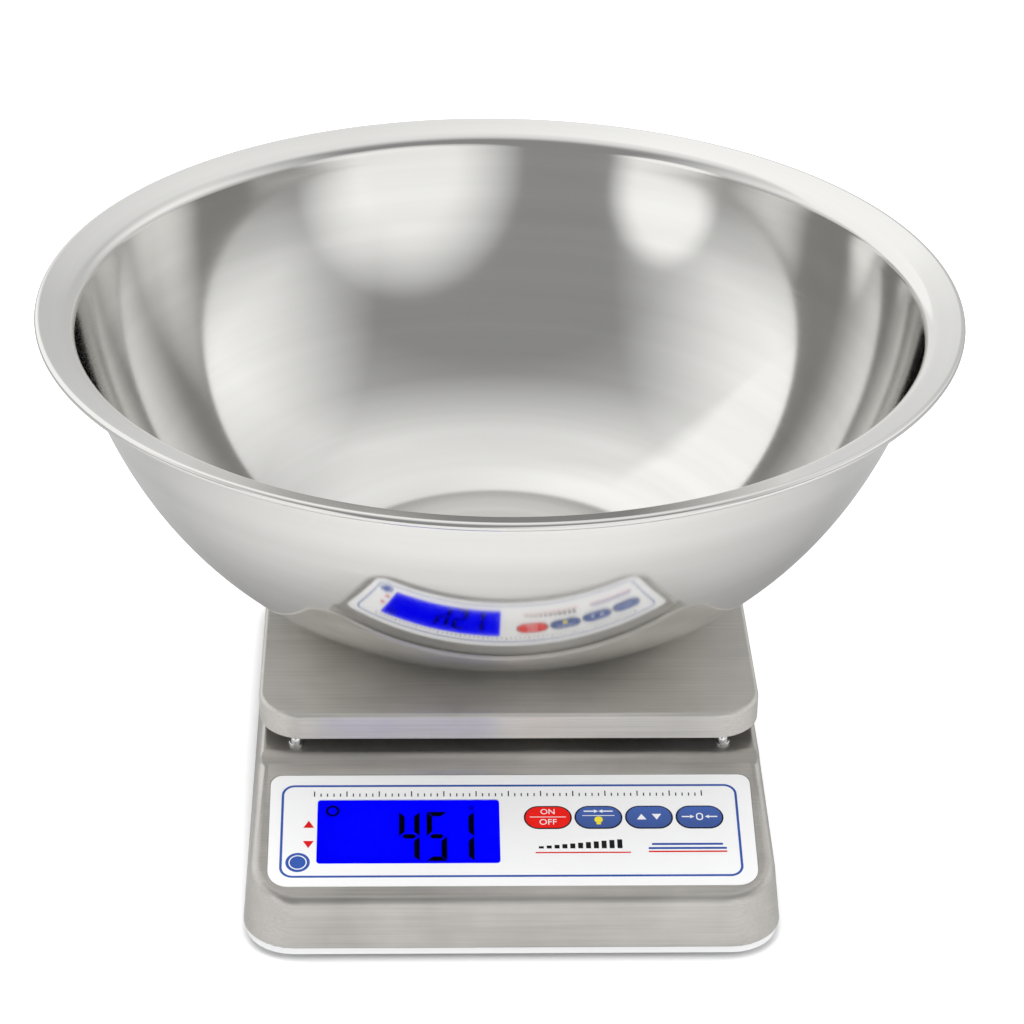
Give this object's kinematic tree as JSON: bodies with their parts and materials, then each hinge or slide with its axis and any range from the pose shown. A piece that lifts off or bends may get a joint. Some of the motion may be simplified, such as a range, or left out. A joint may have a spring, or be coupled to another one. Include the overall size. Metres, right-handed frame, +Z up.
{
  "type": "digital diaper scale",
  "caption": "Digital weighing scale: stainless bowl with a rolled rim on a square pan, over a wedge-shaped housing with a sloping lit display and pill-shaped keys.",
  "frame": {"origin": "on the floor, under the bowl's vertical axis, which is also the middle of the whole object's outline seen from above", "axes": "+Z up, the display panel faces -Y, +X to the right of someone who reads the display"},
  "size_m": [0.405, 0.405, 0.2124],
  "materials": {
    "bowl_steel": "polished stainless sheet",
    "pan_steel": "fine lengthwise brushing",
    "housing_steel": "fine lengthwise brushing",
    "bright_steel": "turned and plated",
    "bolt_steel": "plated",
    "cell_aluminium": "milled",
    "cast_aluminium": "cast, bead blasted",
    "black_rubber": "matt",
    "cable_sheath": "satin",
    "white_plastic": "satin moulded",
    "diffuser_plastic": "frosted",
    "label_film": "satin film with printed border",
    "window_film": "clear blue-tinted film",
    "display_blue": "backlit",
    "key_red": "domed film",
    "key_blue": "domed film",
    "switch_black": "moulded",
    "board_green": "solder resist",
    "connector_nylon": "moulded",
    "insert_brass": "turned",
    "battery_sleeve": "printed sleeve",
    "contact_plating": "nickel plated"
  },
  "bodies": {
    "base": {"top_housing": "housing_steel", "bottom_tray": "white_plastic", "housing_seal": "black_rubber", "housing_standoffs": "bolt_steel", "housing_screws": "bolt_steel", "chassis_plate": "bolt_steel", "chassis_screws": "bolt_steel", "front_label": "label_film", "display_window": "window_film", "lcd_glass": "display_blue", "lcd_backlight": "diffuser_plastic", "main_board": "board_green", "tactile_switches": "switch_black", "board_standoffs": "bolt_steel", "board_screws": "bolt_steel", "board_connectors": "connector_nylon", "load_cell": "cell_aluminium", "load_cell_spacer": "bolt_steel", "fixed_end_bolts": "bolt_steel", "load_cell_cable": "cable_sheath", "power_cable": "cable_sheath", "column_boot": "black_rubber", "stop_screws": "bright_steel", "stop_nuts": "bolt_steel", "foot_inserts": "insert_brass", "battery_box": "white_plastic", "battery_cells": "battery_sleeve", "battery_contacts": "contact_plating", "power_inlet": "switch_black", "inlet_nut": "bolt_steel"},
    "weighing_frame": {"load_column": "cast_aluminium", "live_end_bolts": "bolt_steel", "platform_spider": "cast_aluminium", "spider_bolts": "bolt_steel", "platform_pads": "black_rubber"},
    "platform": {"platform_pan": "pan_steel", "platform_studs": "bright_steel"},
    "bowl": {"bowl": "bowl_steel"},
    "battery_door": {"battery_door": "white_plastic", "door_seal": "black_rubber"},
    "door_screw_left": {"door_screw_left": "bright_steel"},
    "door_screw_right": {"door_screw_right": "bright_steel"},
    "key_power": {"key_power": "key_red"},
    "key_unit": {"key_unit": "key_blue"},
    "key_set": {"key_set": "key_blue"},
    "key_tare": {"key_tare": "key_blue"},
    "foot_front_left": {"foot_front_left": "black_rubber"},
    "foot_front_right": {"foot_front_right": "black_rubber"},
    "foot_rear_left": {"foot_rear_left": "black_rubber"},
    "foot_rear_right": {"foot_rear_right": "black_rubber"}
  },
  "joints": [
    {"name": "weighing_travel", "type": "slide", "parent": "base", "child": "weighing_frame", "axis": [0, 0, -1], "range_m": [0, 0.0008], "stiffness_N_per_m": 60000, "springref_m": -0.0006, "deforming": ["load_cell", "column_boot"]},
    {"name": "pan_lift", "type": "slide", "parent": "weighing_frame", "child": "platform", "axis": [0, 0, 1], "range_m": [0, 0.12]},
    {"name": "bowl_lift", "type": "slide", "parent": "platform", "child": "bowl", "axis": [0, 0, 1], "range_m": [0, 0.2]},
    {"name": "power_press", "type": "slide", "parent": "base", "child": "key_power", "axis": [0, 0.2622, -0.965], "range_m": [0, 0.0004], "stiffness_N_per_m": 3000, "springref_m": -0.00015},
    {"name": "unit_press", "type": "slide", "parent": "base", "child": "key_unit", "axis": [0, 0.2622, -0.965], "range_m": [0, 0.0004], "stiffness_N_per_m": 3000, "springref_m": -0.00015},
    {"name": "set_press", "type": "slide", "parent": "base", "child": "key_set", "axis": [0, 0.2622, -0.965], "range_m": [0, 0.0004], "stiffness_N_per_m": 3000, "springref_m": -0.00015},
    {"name": "tare_press", "type": "slide", "parent": "base", "child": "key_tare", "axis": [0, 0.2622, -0.965], "range_m": [0, 0.0004], "stiffness_N_per_m": 3000, "springref_m": -0.00015},
    {"name": "door_drop", "type": "slide", "parent": "base", "child": "battery_door", "axis": [0, 0, -1], "range_m": [0, 0.05]},
    {"name": "left_screw_turn", "type": "hinge", "parent": "battery_door", "child": "door_screw_left", "pos_m": [-0.0587, 0.058, 0.003], "axis": [0, 0, 1], "continuous": true},
    {"name": "right_screw_turn", "type": "hinge", "parent": "battery_door", "child": "door_screw_right", "pos_m": [0.0653, 0.058, 0.003], "axis": [0, 0, 1], "continuous": true},
    {"name": "front_left_foot_turn", "type": "hinge", "parent": "base", "child": "foot_front_left", "pos_m": [-0.0877, -0.1715, 0], "axis": [0, 0, 1], "continuous": true},
    {"name": "front_right_foot_turn", "type": "hinge", "parent": "base", "child": "foot_front_right", "pos_m": [0.0943, -0.1715, 0], "axis": [0, 0, 1], "continuous": true},
    {"name": "rear_left_foot_turn", "type": "hinge", "parent": "base", "child": "foot_rear_left", "pos_m": [-0.0877, 0.0765, 0], "axis": [0, 0, 1], "continuous": true},
    {"name": "rear_right_foot_turn", "type": "hinge", "parent": "base", "child": "foot_rear_right", "pos_m": [0.0943, 0.0765, 0], "axis": [0, 0, 1], "continuous": true}
  ]
}
